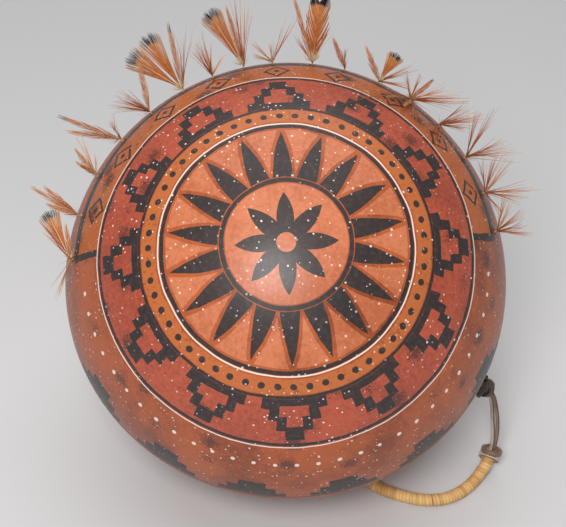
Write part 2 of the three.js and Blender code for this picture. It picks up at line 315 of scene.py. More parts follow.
def paint(red, green, blue):
    """A colour given as it looks on screen, from 0 to 255, as Blender's linear values."""
    def linear(value):
        share = value / 255
        return share / 12.92 if share <= 0.04045 else ((share + 0.055) / 1.055) ** 2.4
    return (linear(red), linear(green), linear(blue), 1)


def add_bump(tree, shader, height, strength, distance):
    node = tree.nodes.new("ShaderNodeBump")
    node.inputs["Strength"].default_value = strength
    node.inputs["Distance"].default_value = distance
    tree.links.new(height.socket, node.inputs["Height"])
    tree.links.new(node.outputs["Normal"], shader.inputs["Normal"])


def attribute_parts(tree, name):
    """The three numbers of a vector attribute of the piece, as Fields."""
    node = tree.nodes.new("ShaderNodeAttribute")
    node.attribute_name = name
    split = tree.nodes.new("ShaderNodeSeparateXYZ")
    tree.links.new(node.outputs["Vector"], split.inputs[0])
    return [Field(tree, out) for out in split.outputs]


print("formula tools ready")

# %% [markdown]
# Suede lace has a pale, rubbed face and brown cut edges. Every strip notes where its corners are, so
# that the material can tell the face from the edges, and a tone that is 1 where the brown side shows.
# Fine noise gives the nap, and a rough surface with a little sheen keeps it soft under the lights.

# %% Suede
PALE_SUEDE = paint(196, 191, 174)
DUSTY_SUEDE = paint(160, 153, 134)
BROWN_SUEDE = paint(122, 86, 60)
DARK_SUEDE = paint(72, 50, 36)
# The knots are the same suede as the lace. These darker browns are painted shade, as if the knots lay in
# the gourd's shadow.
KNOT_PAINTED_SHADE_BROWN = paint(54, 38, 28)
KNOT_PAINTED_SHADE_DARK = paint(28, 20, 16)


def suede_material(name, dark_brown, light_brown):
    material, tree, shader, place = new_material(name)
    face, _, tone = attribute_parts(tree, "strip")
    nap = noise(tree, place, 1400, 3, 0.6)
    patches = noise(tree, place, 160, 3)
    pale = mixed(tree, DUSTY_SUEDE, PALE_SUEDE, patches.ramp(0.35, 0.65))
    brown = mixed(tree, dark_brown, light_brown, nap.ramp(0.3, 0.7))
    rubbed = face.ramp(0.35, 0.7) * tone.opposite() + (nap - 0.5) * 0.3
    tree.links.new(mixed(tree, brown, pale, rubbed), shader.inputs["Base Color"])
    shader.inputs["Roughness"].default_value = 0.92
    shader.inputs["Sheen Weight"].default_value = 0.3
    shader.inputs["Specular IOR Level"].default_value = 0.25
    add_bump(tree, shader, nap, 0.5, 0.3 * MM)
    return material


lace_suede = suede_material("lace_suede", DARK_SUEDE, BROWN_SUEDE)
# The knots' darker suede is painted shade, not a different leather.
painted_shade_knot_suede = suede_material("painted_shade_knot_suede", KNOT_PAINTED_SHADE_DARK, KNOT_PAINTED_SHADE_BROWN)
print("suede for the lace and, darker, for the knots")

# %% [markdown]
# Two flat strands lie side by side from the right-hand hole, through the grip, to the hole underneath.
# Between the knot and the lashing they hang free, and spread a little apart. Each strand is a strip
# swept along its own line beside the route, and its length is printed.

# %% Lace strands
LACE_WIDTH = 3 * MM
LACE_THICKNESS = 1.5 * MM
STRAND_GAP = 0.3 * MM
STRAND_TURN = math.radians(48)
STRAND_SPREAD = 1.2 * MM
STRAND_STEPS = 2


def node_middle(node):
    low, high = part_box(node)
    return (Vector(low) + Vector(high)) / 2


knot_right_place = nearest(route, node_middle("knot_right"))
knot_under_place = nearest(route, node_middle("knot_under"))
lashing_right_place = nearest(route, node_middle("lashing_right"))
lashing_under_place = nearest(route, node_middle("lashing_under"))


def hanging_spread(place):
    """How far a strand stands off sideways: most half-way between the knot and the lashing."""
    share = (place - knot_right_place) / (lashing_right_place - knot_right_place)
    return STRAND_SPREAD * math.sin(math.pi * share) ** 2 if 0 < share < 1 else 0


def strip_note(shape, tone):
    """A function that marks a strip's vertices with face or edge, place along it, and tone."""
    layers = shape.verts.layers.float_vector
    layer = layers.get("strip") or layers.new("strip")

    def note(vertex, number, corner):
        on_a_face = 1 if corner in (1, 2, 5, 6) else 0
        vertex[layer] = (on_a_face, number, tone)
    return note


def lace_strand(name, side_sign, tone):
    line = []
    sections = []
    for place in range(0, len(route), STRAND_STEPS):
        along, side, up = route_frames[place]
        through = side * math.cos(STRAND_TURN) + up * math.sin(STRAND_TURN)
        across = along.cross(through)
        offset = through * (LACE_THICKNESS + STRAND_GAP) / 2 + across * hanging_spread(place)
        line.append(route[place] + offset * side_sign)
        sections.append(strip_section(line[-1], across, through, LACE_WIDTH, LACE_THICKNESS))
    shape = bmesh.new()
    sweep(shape, sections, strip_note(shape, tone))
    strand = finished_piece(name, shape, lace_suede, 50)
    length = sum((b - a).length for a, b in zip(line, line[1:]))
    print(name, round(length / MM), "mm long")
    return strand, line, length


front_strand, front_line, front_length = lace_strand("lace_front", 1, 0.05)
back_strand, back_line, back_length = lace_strand("lace_back", -1, 0.7)
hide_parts("lace_strand_front")
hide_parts("lace_strand_back")

# %% [markdown]
# A lashing is two turns of the lace wound round the end of the grip, one with its brown side out and one
# with its pale side, each with its tail lifted a little. A knot is a pair of slanted turns that cross
# each other. Both are strips swept round the route, so one function makes them, with another radius,
# slope and number of turns.

# %% Lashings and knots
WOUND_STEPS = 28
LASHING_RADIUS = 5.45 * MM
LASHING_PITCH = 3.5 * MM
LASHING_LACE = (3.5 * MM, 1.7 * MM)
LASHING_SLOPES = (math.radians(4), math.radians(16))
KNOT_RADIUS = 4.3 * MM
KNOT_SLOPE = math.radians(34)
KNOT_LACE = (4.2 * MM, 2.4 * MM)
TAIL_LIFT = 1.6 * MM


def wound_turn(shape, place, turns, radius, pitch, slope, lace, start, note):
    """One strip wound round the route: turns, rise a turn, and a slope that tips the turns over."""
    along, side, up = route_frames[place]
    tipped_along = along * math.cos(slope) + side * math.sin(slope)
    tipped_side = side * math.cos(slope) - along * math.sin(slope)
    steps = round(turns * WOUND_STEPS)
    sections = []
    for step in range(steps + 1):
        share = step / steps
        angle = start + share * turns * math.tau
        outward = tipped_side * math.cos(angle) + up * math.sin(angle)
        rise = tipped_along * pitch * turns * (share - 0.5)
        tail = TAIL_LIFT * max(0, share - 0.9) / 0.1
        growth = radius + tail + lace[1] * 0.18 * share
        centre = route[place] + rise + outward * growth
        sections.append(strip_section(centre, tipped_along, outward, *lace))
    sweep(shape, sections, note)


def lashing(name, node, place, start, toward_grip):
    shape = bmesh.new()
    for row, (slope, tone) in enumerate(zip(LASHING_SLOPES, (0.85, 0))):
        spot = place + (row - 0.5) * LASHING_PITCH / ROUTE_STEP * toward_grip
        note = strip_note(shape, tone)
        wound_turn(shape, round(spot), 1.1, LASHING_RADIUS, 0.5 * MM, slope, LASHING_LACE, start, note)
    piece = finished_piece(name, shape, lace_suede, 50)
    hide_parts(node)
    return piece


def knot(name, node, place):
    shape = bmesh.new()
    note = strip_note(shape, 0.9)
    for slope, start in ((KNOT_SLOPE, 0.4), (-KNOT_SLOPE, 2.9)):
        wound_turn(shape, place, 1.12, KNOT_RADIUS, 0.6 * MM, slope, KNOT_LACE, start, note)
    # The knot's darker suede is painted shade.
    piece = finished_piece(name, shape, painted_shade_knot_suede, 50)
    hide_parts(node)
    return piece


right_lashing = lashing("right_lashing", "lashing_right", lashing_right_place, 2.6, 1)
under_lashing = lashing("under_lashing", "lashing_under", lashing_under_place, 0.5, -1)
right_knot = knot("right_knot", "knot_right", knot_right_place)
under_knot = knot("under_knot", "knot_under", knot_under_place)
print("two lashings and two knots wound")

# %% [markdown]
# The grip is wound close with a straw-coloured fibre, one flat strip that overlaps itself turn by turn.
# A texture could fake the ridges, but their outline shows, so the strip is really wound: a small
# lens-shaped section swept along a helix round the route, with each turn a little different.

# %% Straw grip
GRIP_END = 2.2
STRAW_RADIUS = 3.15 * MM
STRAW_PITCH = 1.9 * MM
STRAW_WIDTH = 2.5 * MM
STRAW_THICKNESS = 0.75 * MM
STRAW_STEPS = 18
STRAW_LEAN = 0.2
LIGHT_STRAW = paint(226, 184, 122)
DEEP_STRAW = paint(196, 146, 86)
# Brown for random patches in the straw, and also painted shade along the edges of each turn, in the grooves
# between turns.
BROWN_STRAW_AND_GROOVE_SHADE = paint(146, 98, 52)


def straw_material():
    material, tree, shader, place = new_material("wound_straw")
    across, along, tone = attribute_parts(tree, "strip")
    fibres = tree.nodes.new("ShaderNodeCombineXYZ")
    connect(tree, across * 6, fibres.inputs[0])
    connect(tree, along * 0.12, fibres.inputs[1])
    connect(tree, tone * 40, fibres.inputs[2])
    streaks = noise(tree, fibres.outputs[0], 1, 4, 0.65)
    patches = noise(tree, place, 120, 2)
    colour = mixed(tree, DEEP_STRAW, LIGHT_STRAW, (tone * 0.6 + streaks * 0.7).ramp(0.25, 0.85))
    # The edges of each turn get painted shade for the grooves between turns. The noise adds random brown
    # patches.
    groove_shade_and_patches = across.absolute().ramp(0.7, 1) * 0.45 + patches.ramp(0.55, 0.8) * 0.35
    tree.links.new(mixed(tree, colour, BROWN_STRAW_AND_GROOVE_SHADE, groove_shade_and_patches), shader.inputs["Base Color"])
    shader.inputs["Roughness"].default_value = 0.55
    shader.inputs["Specular IOR Level"].default_value = 0.4
    add_bump(tree, shader, streaks, 0.5, 0.25 * MM)
    return material


def straw_grip():
    chance = random.Random(7)
    start = lashing_right_place - GRIP_END
    end = lashing_under_place + GRIP_END
    turns = int((end - start) * ROUTE_STEP / STRAW_PITCH)
    wander = []
    for _ in range(turns + 2):
        wander.append((chance.uniform(-0.3, 0.3) * MM, chance.uniform(0.85, 1.15), chance.random()))
    shape = bmesh.new()
    layer = shape.verts.layers.float_vector.new("strip")
    tones = []
    sections = []
    for step in range(turns * STRAW_STEPS + 1):
        turn, share = divmod(step, STRAW_STEPS)
        blend = share / STRAW_STEPS
        shift, width, tone = (a + (b - a) * blend for a, b in zip(wander[turn], wander[turn + 1]))
        spot = start + (step / STRAW_STEPS) * STRAW_PITCH / ROUTE_STEP
        place = min(int(spot), len(route) - 2)
        along, side, up = route_frames[place]
        angle = blend * math.tau
        outward = side * math.cos(angle) + up * math.sin(angle)
        centre = route[place].lerp(route[place + 1], spot - place) + along * shift + outward * STRAW_RADIUS
        across = (along + outward * STRAW_LEAN).normalized()
        through = (outward - along * STRAW_LEAN).normalized()
        sections.append(strip_section(centre, across, through, STRAW_WIDTH * width, STRAW_THICKNESS))
        tones.append(tone)

    def note(vertex, number, corner):
        edge = (1, 0.8, -0.8, -1, -1, -0.8, 0.8, 1)[corner]
        vertex[layer] = (edge, number, tones[number])

    sweep(shape, sections, note)
    piece = finished_piece("straw_grip", shape, straw_material(), 60)
    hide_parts("grip_wrap")
    print("straw grip of", turns, "turns,", len(piece.data.polygons), "faces")
    return piece


grip = straw_grip()

# %% [markdown]
# Both strands go back into the gourd at their far ends; the grip, the lashings and the knots hang on the
# lace.
# ENTRY_DEPTH is how many steps in from each end of the route the two lace holes are drilled.

ENTRY_DEPTH = 8

# %% [markdown]
# The gourd is a ball that is not quite round: wider than deep, with a faint three-sided swell, a dimple
# with a stem stub at its back and a small flat spot to rest on. A UV sphere with its poles on the face's
# axis is pushed out to the same formula that the CAD uses, only with many more faces.

# %% Gourd body
HALF_WIDTH = 125 * MM
HALF_HEIGHT = 124 * MM
HALF_DEPTH = 121 * MM
FACE_ELEVATION = math.radians(49)
FACE_ROLL = math.radians(3)
SKIN_RIPPLE = 0.7 * MM
STEM_DIMPLE = 6 * MM
STEM_DIMPLE_SPREAD = 0.16
STEM_RADIUS = 6.5 * MM
STEM_STUB = 5 * MM
GOURD_SIDES = 192
GOURD_RINGS = 120

face_out = Vector((0, -math.cos(FACE_ELEVATION), math.sin(FACE_ELEVATION)))
face_right = Matrix.Rotation(FACE_ROLL, 3, face_out) @ Vector((1, 0, 0))
face_up = face_out.cross(face_right)
face_turn = Matrix((face_right, face_up, face_out)).transposed()


def skin_distance(direction):
    """Distance from the gourd's middle to its skin; the direction is right, up and out of the face."""
    x, y, z = direction
    plain = 1 / math.hypot(x / HALF_WIDTH, y / HALF_HEIGHT, z / HALF_DEPTH)
    from_stem = math.acos(max(-1, min(1, -z)))
    dimple = STEM_DIMPLE * math.exp(-((from_stem / STEM_DIMPLE_SPREAD) ** 2))
    return plain + SKIN_RIPPLE * (1 - z * z) * math.sin(3 * math.atan2(x, y) + 0.6) - dimple


def skin_frame(polar, azimuth):
    """A point of the skin, its outward normal, the way along the crest and the way towards the face."""
    sideways = math.sin(polar)
    local = Vector((sideways * math.sin(azimuth), sideways * math.cos(azimuth), math.cos(polar)))
    spot = GOURD_CENTRE + face_turn @ (local * skin_distance(local))
    slope = Vector((local.x / HALF_WIDTH ** 2, local.y / HALF_HEIGHT ** 2, local.z / HALF_DEPTH ** 2))
    normal = (face_turn @ slope).normalized()
    along = face_turn @ Vector((math.cos(azimuth), -math.sin(azimuth), 0))
    along = (along - normal * along.dot(normal)).normalized()
    to_face = normal.cross(along)
    if to_face.dot(face_out) < 0:
        to_face = -to_face
    return spot, normal, along, to_face


def gourd_shape():
    shape = bmesh.new()
    bmesh.ops.create_uvsphere(shape, u_segments=GOURD_SIDES, v_segments=GOURD_RINGS, radius=1)
    for vertex in shape.verts:
        direction = vertex.co.normalized()
        vertex.co = GOURD_CENTRE + face_turn @ (direction * skin_distance(direction))
        vertex.co.z = max(vertex.co.z, 0)
    return shape


gourd_body = gourd_shape()
print("gourd ball of", len(gourd_body.faces), "faces")

# %% [markdown]
# The crest is seventeen tufts on a circle round the face. The plan below lists each tuft's place, in
# degrees from the top of the face, and its feathers: the kind, the lean along the crest in degrees, the
# length in millimetres and, where a feather lies over the face, its lean that way. A second word in the
# kind says that the tip is black or the shaft pale.

# %% Plan of the crest
CREST_POLAR = math.radians(67.5)
ALTERNATE_LEAN = 9
CREST = [
    (-85, [("broad black", 55, 29), ("narrow", 78, 20), ("wisp", 38, 25), ("wisp pale", -72, 25)]),
    (-73, [("narrow", 14, 31), ("narrow", 24, 25), ("narrow", 2, 19)]),
    (-61, [("narrow", 18, 20), ("wisp pale", 38, 25), ("wisp pale", 58, 13), ("narrow", 2, 14)]),
    (-49, [("narrow black", -21, 37), ("narrow", -32, 31), ("wisp", 20, 14)]),
    (-38, [("narrow", 24, 29), ("wisp", -43, 24), ("wisp", -29, 22), ("wisp", -14, 21)]),
    (-27, [("broad black", -31, 35), ("broad black", -6, 36), ("narrow black", 16, 37), ("wisp", 32, 35)]),
    (-18, [("wisp", -18, 22), ("wisp", -5, 25), ("wisp", 9, 19), ("wisp pale", 46, 14)]),
    (-9, [("broad black", -22, 36), ("narrow", -5, 35), ("wisp", 3, 38), ("wisp", 13, 33)]),
    (-1, [("wisp pale", -66, 14), ("wisp pale", -44, 16), ("wisp pale", -3, 12), ("wisp", 31, 27)]),
    (10, [("narrow", -23, 38), ("full black", 0, 37), ("wisp", -40, 18), ("wisp", 17, 24)]),
    (19, [("narrow", -34, 19), ("wisp", -14, 12)]),
    (29, [("narrow", -46, 21), ("broad black", 10, 18), ("wisp", 44, 22), ("wisp", 74, 19)]),
    (39, [
        ("wisp", -41, 16), ("wisp black", -14, 15), ("narrow black", 16, 18), ("wisp", 40, 23),
        ("wisp", 51, 34), ("wisp black", 63, 32), ("wisp", -23, 58, 84), ("narrow", -12, 38, 84),
        ("narrow", 4, 34, 84), ("wisp", 20, 38, 84),
    ]),
    (49.5, [
        ("wisp", 8, 18), ("wisp", 25, 21), ("wisp", 38, 26), ("wisp", 56, 17), ("wisp", 4, 44, 84),
        ("wisp", 18, 36, 84),
    ]),
    (61, [("wisp", -41, 26), ("wisp", -21, 33), ("wisp", 16, 26), ("wisp", 28, 31)]),
    (72, [
        ("wisp", -72, 20), ("wisp", -50, 24), ("wisp pale", -27, 24), ("wisp", 19, 29), ("wisp", 33, 25),
        ("wisp", 74, 15),
    ]),
    (83, [("wisp", -64, 22), ("wisp pale", -47, 18), ("wisp", -19, 21), ("wisp", 4, 17), ("wisp", 19, 24)]),
]
print("crest of", len(CREST), "tufts and", sum(len(feathers) for _, feathers in CREST), "feathers")

# %% [markdown]
# Each tuft stands in a drilled hole, and the lace goes through two wider ones. The holes are cut with one
# Boolean modifier whose cutter holds every drill, and the result is kept as the gourd's mesh.

# %% Holes in the gourd
TUFT_HOLE = (2 * MM, 7 * MM)
LACE_HOLE = (3.3 * MM, 12 * MM)
RIGHT_HOLE_AXIS = Vector((0.872, -0.15, -0.466)).normalized()
UNDER_HOLE_AXIS = Vector((0, 0, -1))


def drill(cutter, spot, axis, radius, depth):
    """Adds one drill to the cutter: it starts outside the skin and ends at the hole's depth."""
    turn = axis.to_track_quat("Z", "Y").to_matrix().to_4x4()
    bmesh.ops.create_cone(
        cutter, cap_ends=True, segments=20, radius1=radius, radius2=radius, depth=2 * depth,
        matrix=Matrix.Translation(spot) @ turn,
    )


def stem_stub():
    """The short cut end of the stem, which stands in the dimple at the back."""
    shape = bmesh.new()
    stem_axis = -face_out
    middle = GOURD_CENTRE + stem_axis * (HALF_DEPTH - STEM_DIMPLE - STEM_STUB / 2)
    turn = stem_axis.to_track_quat("Z", "Y").to_matrix().to_4x4()
    bmesh.ops.create_cone(
        shape, cap_ends=True, segments=28, radius1=STEM_RADIUS, radius2=STEM_RADIUS * 0.8,
        depth=STEM_STUB * 3, matrix=Matrix.Translation(middle) @ turn,
    )
    top = max(shape.faces, key=lambda face: face.calc_center_median().dot(stem_axis))
    bmesh.ops.bevel(
        shape, geom=list(top.edges), offset=1 * MM, affect="EDGES", segments=3, profile=0.5, material=-1,
    )
    return shape


def drilled_mesh(body_shape, stub, drills):
    """The body with its stem stub joined on and the drills taken away, as a new mesh."""
    made = []
    for name, shape in (("gourd_blank", body_shape), ("stub", stub), ("drills", drills)):
        mesh = bpy.data.meshes.new(name)
        shape.to_mesh(mesh)
        shape.free()
        made.append(bpy.data.objects.new(name, mesh))
        bpy.context.scene.collection.objects.link(made[-1])
    blank = made[0]
    for operation, tool in (("UNION", made[1]), ("DIFFERENCE", made[2])):
        step = blank.modifiers.new(operation.lower(), "BOOLEAN")
        step.operation = operation
        step.object = tool
        step.solver = "EXACT"
    depsgraph = bpy.context.evaluated_depsgraph_get()
    result = bpy.data.meshes.new_from_object(blank.evaluated_get(depsgraph))
    for item in made:
        old = item.data
        bpy.data.objects.remove(item)
        bpy.data.meshes.remove(old)
    return result


drills = bmesh.new()
for azimuth, _ in CREST:
    spot, normal, *_ = skin_frame(CREST_POLAR, math.radians(azimuth))
    drill(drills, spot, normal, *TUFT_HOLE)
drill(drills, route[ENTRY_DEPTH], RIGHT_HOLE_AXIS, *LACE_HOLE)
drill(drills, route[len(route) - 1 - ENTRY_DEPTH], UNDER_HOLE_AXIS, *LACE_HOLE)
gourd_mesh = drilled_mesh(gourd_body, stem_stub(), drills)
print("gourd drilled,", len(gourd_mesh.polygons), "faces")

# %% [markdown]
# The painted design is laid out in rings about the middle of the face. Two numbers say where a point of
# the skin lies: its reach, the distance from the middle of the face along the skin in millimetres, and
# its turn, the share of a full circle clockwise from the top. Both come from Object coordinates, so the
# lines stay sharp however coarse the mesh is. A little noise in both makes the lines look hand-drawn.

# %% Places on the painted face
SKIN_RADIUS_MM = 123
LINE_WANDER = 1.8
TURN_WANDER = 0.005


def vector_math(tree, operation, first, second, output="Vector"):
    node = tree.nodes.new("ShaderNodeVectorMath")
    node.operation = operation
    tree.links.new(first, node.inputs[0])
    node.inputs[1].default_value = second
    return node.outputs[output]


def face_places(tree, place):
    """Reach and turn of a point of the skin, as two Fields."""
    offset = vector_math(tree, "SUBTRACT", place, GOURD_CENTRE)
    length = tree.nodes.new("ShaderNodeVectorMath")
    length.operation = "LENGTH"
    tree.links.new(offset, length.inputs[0])
    right, up, out = (
        Field(tree, vector_math(tree, "DOT_PRODUCT", offset, axis, "Value"))
        for axis in (face_right, face_up, face_out)
    )
    reach = (out / Field(tree, length.outputs["Value"])).math("ARCCOSINE") * SKIN_RADIUS_MM
    turn = right.math("ARCTAN2", up) / math.tau
    hand = noise(tree, place, 48, 2) - 0.5
    drift = noise(tree, place, 63, 2) - 0.5
    return reach + hand * LINE_WANDER, turn + drift * TURN_WANDER


print("places on the face: reach in millimetres, turn in shares of a circle")

# %% [markdown]
# Each motif is a formula in reach and turn that is 1 where its paint goes: a star in the middle, a ring
# of triangles, a ring of dots, stepped points like a rising sun, a band of lozenges under the feathers,
# and a row of stepped hills at the bottom. They are plain shapes, chosen to suit a round face.

# %% Motifs of the painted design
STAR_POINTS = 8
STAR_HUB = 5
STAR_NOTCH = 11
STAR_POINT_LENGTH = 15
STAR_EDGE = 31
TEETH = 18
TEETH_START = 34.5
TEETH_HEIGHT = 29
TEETH_NARROWING = 0.9
DARK_TOOTH_EDGE = 0.86
LIGHT_TOOTH_EDGE = 1.08
DOTS = 54
DOT_RING = 74
DOT_RADIUS = 1.9
SUN_POINTS = 12
SUN_START = 81
SUN_STEP = 6.5
SUN_LEVELS = 4
BAND_START = 112
BAND_END = 136
BAND_TURN = 0.238
LOZENGES = 20
LOZENGE_HALF_HEIGHT = 10
LOZENGE_NARROWING = 2.1
RIM_LINE = 139.8
BEADS = 60
BEAD_RING = 128
HILLS = 15
HILL_START = 150
HILL_STEP = 8
HILL_LEVELS = 3
HILL_TOP = 0.3
HILL_WIDENING = 0.22
HILL_TURN = 0.29


def from_sector_middle(turn, count):
    """0 in the middle of each of count equal sectors, and 1 at its two edges."""
    return ((turn * count + 0.5).wrapped() - 0.5).absolute() * 2


def star_motif(reach, turn):
    points = from_sector_middle(turn, STAR_POINTS).opposite()
    star = (reach - (points * STAR_POINT_LENGTH + STAR_NOTCH)).below(0)
    return star * reach.above(STAR_HUB)


def teeth_ring(reach, turn):
    """Dark triangles that point outwards, and light ones that point inwards between them."""
    level = (reach - TEETH_START) / TEETH_HEIGHT
    slant = from_sector_middle(turn, TEETH) + level * TEETH_NARROWING
    inside = reach.between(TEETH_START, TEETH_START + TEETH_HEIGHT)
    return slant.below(DARK_TOOTH_EDGE) * inside, slant.above(LIGHT_TOOTH_EDGE) * inside


def dot_ring(reach, turn, count, ring, radius):
    half_sector = math.pi * ring / count
    sideways = from_sector_middle(turn, count) * (half_sector / radius)
    return (sideways.math("POWER", 2) + ((reach - ring) / radius).math("POWER", 2)).below(1)


def sun_points(reach, turn, start, levels, foot_width):
    """Stepped points: each level is narrower than the one below it."""
    level = ((reach - start) / SUN_STEP).floor() / levels
    half_width = level.math("MULTIPLY_ADD", -foot_width, foot_width)
    inside = reach.between(start, start + SUN_STEP * levels)
    return (from_sector_middle(turn, SUN_POINTS) - half_width).below(0) * inside


def lozenge(reach, turn):
    """Distance from the middle of a lozenge, 1 at its edge."""
    across = from_sector_middle(turn, LOZENGES) * LOZENGE_NARROWING
    up_down = ((reach - (BAND_START + BAND_END) / 2) / LOZENGE_HALF_HEIGHT).absolute()
    return across + up_down


def hills(reach, turn):
    """Stepped hills that widen downwards, away from the middle of the face."""
    half_width = ((reach - HILL_START) / HILL_STEP).floor() * HILL_WIDENING + HILL_TOP
    in_rows = reach.between(HILL_START, HILL_START + HILL_LEVELS * HILL_STEP)
    inside = in_rows * turn.absolute().above(HILL_TURN)
    return (from_sector_middle(turn, HILLS) - half_width).below(0) * inside


def ring_lines(reach, lines):
    """1 on every ring of a list of (reach, width)."""
    parts = [reach.between(middle - width / 2, middle + width / 2) for middle, width in lines]
    total = parts[0]
    for part in parts[1:]:
        total = total.either(part)
    return total


print("motifs defined")

# %% [markdown]
# The colours go on in the painter's order: terracotta ground, rose ring, light triangles, dabs of dark
# stipple, black motifs, white lines, and last a fine spatter of white flecks. This cell holds the
# colours, and the formulas for the ground, the dabs and the flecks.

# %% Ground, stipple and spatter
TERRACOTTA = paint(170, 86, 46)
BURNT_TERRACOTTA = paint(124, 59, 32)
ROSE = paint(176, 82, 58)
DULL_ROSE = paint(144, 64, 46)
ORANGE = paint(180, 99, 52)
LIGHT_PINK = paint(196, 116, 80)
WARM_PINK = paint(170, 92, 58)
STIPPLE = paint(70, 42, 40)
SOOT = paint(40, 38, 39)
WORN_SOOT = paint(60, 54, 52)
CHALK = paint(236, 222, 210)
BARK = paint(112, 84, 58)
STEM_REACH = 374


def fleck_field(tree, place, scale, share, small, large):
    """Round flecks of random size: scale in cells a metre, share of the cells that have one."""
    node = tree.nodes.new("ShaderNodeTexVoronoi")
    tree.links.new(place, node.inputs["Vector"])
    node.inputs["Scale"].default_value = scale
    split = tree.nodes.new("ShaderNodeSeparateColor")
    tree.links.new(node.outputs["Color"], split.inputs[0])
    chance = Field(tree, split.outputs[0])
    size = Field(tree, split.outputs[1]).math("POWER", 2) * (large - small) + small
    distance = Field(tree, node.outputs["Distance"])
    return (distance - size).below(0) * chance.below(share)


def stipple_dabs(tree, place):
    """Dabs of dry brush: grains that stand close in the middle of a dab and thin out at its edge."""
    node = tree.nodes.new("ShaderNodeTexVoronoi")
    tree.links.new(place, node.inputs["Vector"])
    node.inputs["Scale"].default_value = 50
    dab = Field(tree, node.outputs["Distance"]).ramp(0.5, 0.04)
    grains = noise(tree, place, 1250, 3, 0.75)
    return (grains + dab * 0.28).ramp(0.65, 0.71) * dab.above(0.05)


def ground_colour(tree, reach, in_band, mottle, brush):
    base = mixed(tree, BURNT_TERRACOTTA, TERRACOTTA, (mottle * 0.7 + brush * 0.3).ramp(0.36, 0.58))
    rose = mixed(tree, DULL_ROSE, ROSE, (mottle * 0.4 + brush * 0.6).ramp(0.36, 0.6))
    base = mixed(tree, base, rose, reach.between(SUN_START, BAND_START))
    ringed = reach.between(DOT_RING - 4.5, DOT_RING + 4.5).either(in_band * 0.8)
    return mixed(tree, base, ORANGE, ringed * brush.ramp(0.3, 0.5))


print("ground colours and spatter ready")

# %% [markdown]
# Each coat is mixed over the one below it, by a Field that is 1 where its paint goes. A painted picture
# on the skin would need unwrapping and would blur up close; formulas stay sharp at any distance. A
# satin varnish whose gloss varies, and a faint relief of paint and flecks, make it a real surface under
# the lights.

# %% Paint and varnish
BLACK_RINGS = [(32.8, 2.4), (66, 2.4), (80, 1.8), (110.4, 2.2)]
WHITE_RINGS = [(68, 0.8), (112.6, 0.8)]
HILL_FOOT_RING = [(176.5, 2.4)]
END_BAR_TURN = 0.003
BEAD_RADIUS = 1.4
BEAD_TURN = 0.26
SUN_WINDOW_RISE = 4
SUN_WINDOW_LEVELS = 2
SUN_WINDOW_WIDTH = 0.36
SUN_FOOT_WIDTH = 0.8


def black_motifs(reach, turn, in_band, dark_teeth, rim_wander):
    """1 wherever black paint goes; rim_wander is half the width of the rim line."""
    diamond = lozenge(reach, turn)
    lozenges = diamond.between(0.74, 1).either(diamond.below(0.24)) * in_band
    window = sun_points(reach, turn, SUN_START + SUN_WINDOW_RISE, SUN_WINDOW_LEVELS, SUN_WINDOW_WIDTH)
    black = sun_points(reach, turn, SUN_START, SUN_LEVELS, SUN_FOOT_WIDTH) * window.opposite()
    from_top = turn.absolute()
    rim = ((reach - RIM_LINE).absolute() - rim_wander).below(0) * from_top.below(BAND_TURN)
    at_band_end = (from_top - BAND_TURN).absolute().below(END_BAR_TURN)
    end_bars = at_band_end * reach.between(BAND_START, RIM_LINE)
    hill_foot = ring_lines(reach, HILL_FOOT_RING) * from_top.above(HILL_TURN)
    dots = dot_ring(reach, turn, DOTS, DOT_RING, DOT_RADIUS)
    star = star_motif(reach, turn)
    for part in (
        star, dark_teeth, dots, hills(reach, turn), lozenges, rim, end_bars,
        ring_lines(reach, BLACK_RINGS), hill_foot,
    ):
        black = black.either(part)
    return black


def white_lines(reach, turn):
    beads = dot_ring(reach, turn, BEADS, BEAD_RING, BEAD_RADIUS) * turn.absolute().above(BEAD_TURN)
    return ring_lines(reach, WHITE_RINGS).either(beads)


def varnish(tree, shader, gloss, relief):
    tree.links.new(gloss.socket, shader.inputs["Roughness"])
    shader.inputs["Specular IOR Level"].default_value = 0.3
    shader.inputs["Coat Weight"].default_value = 0.12
    shader.inputs["Coat Roughness"].default_value = 0.24
    add_bump(tree, shader, relief, 0.4, 0.14 * MM)


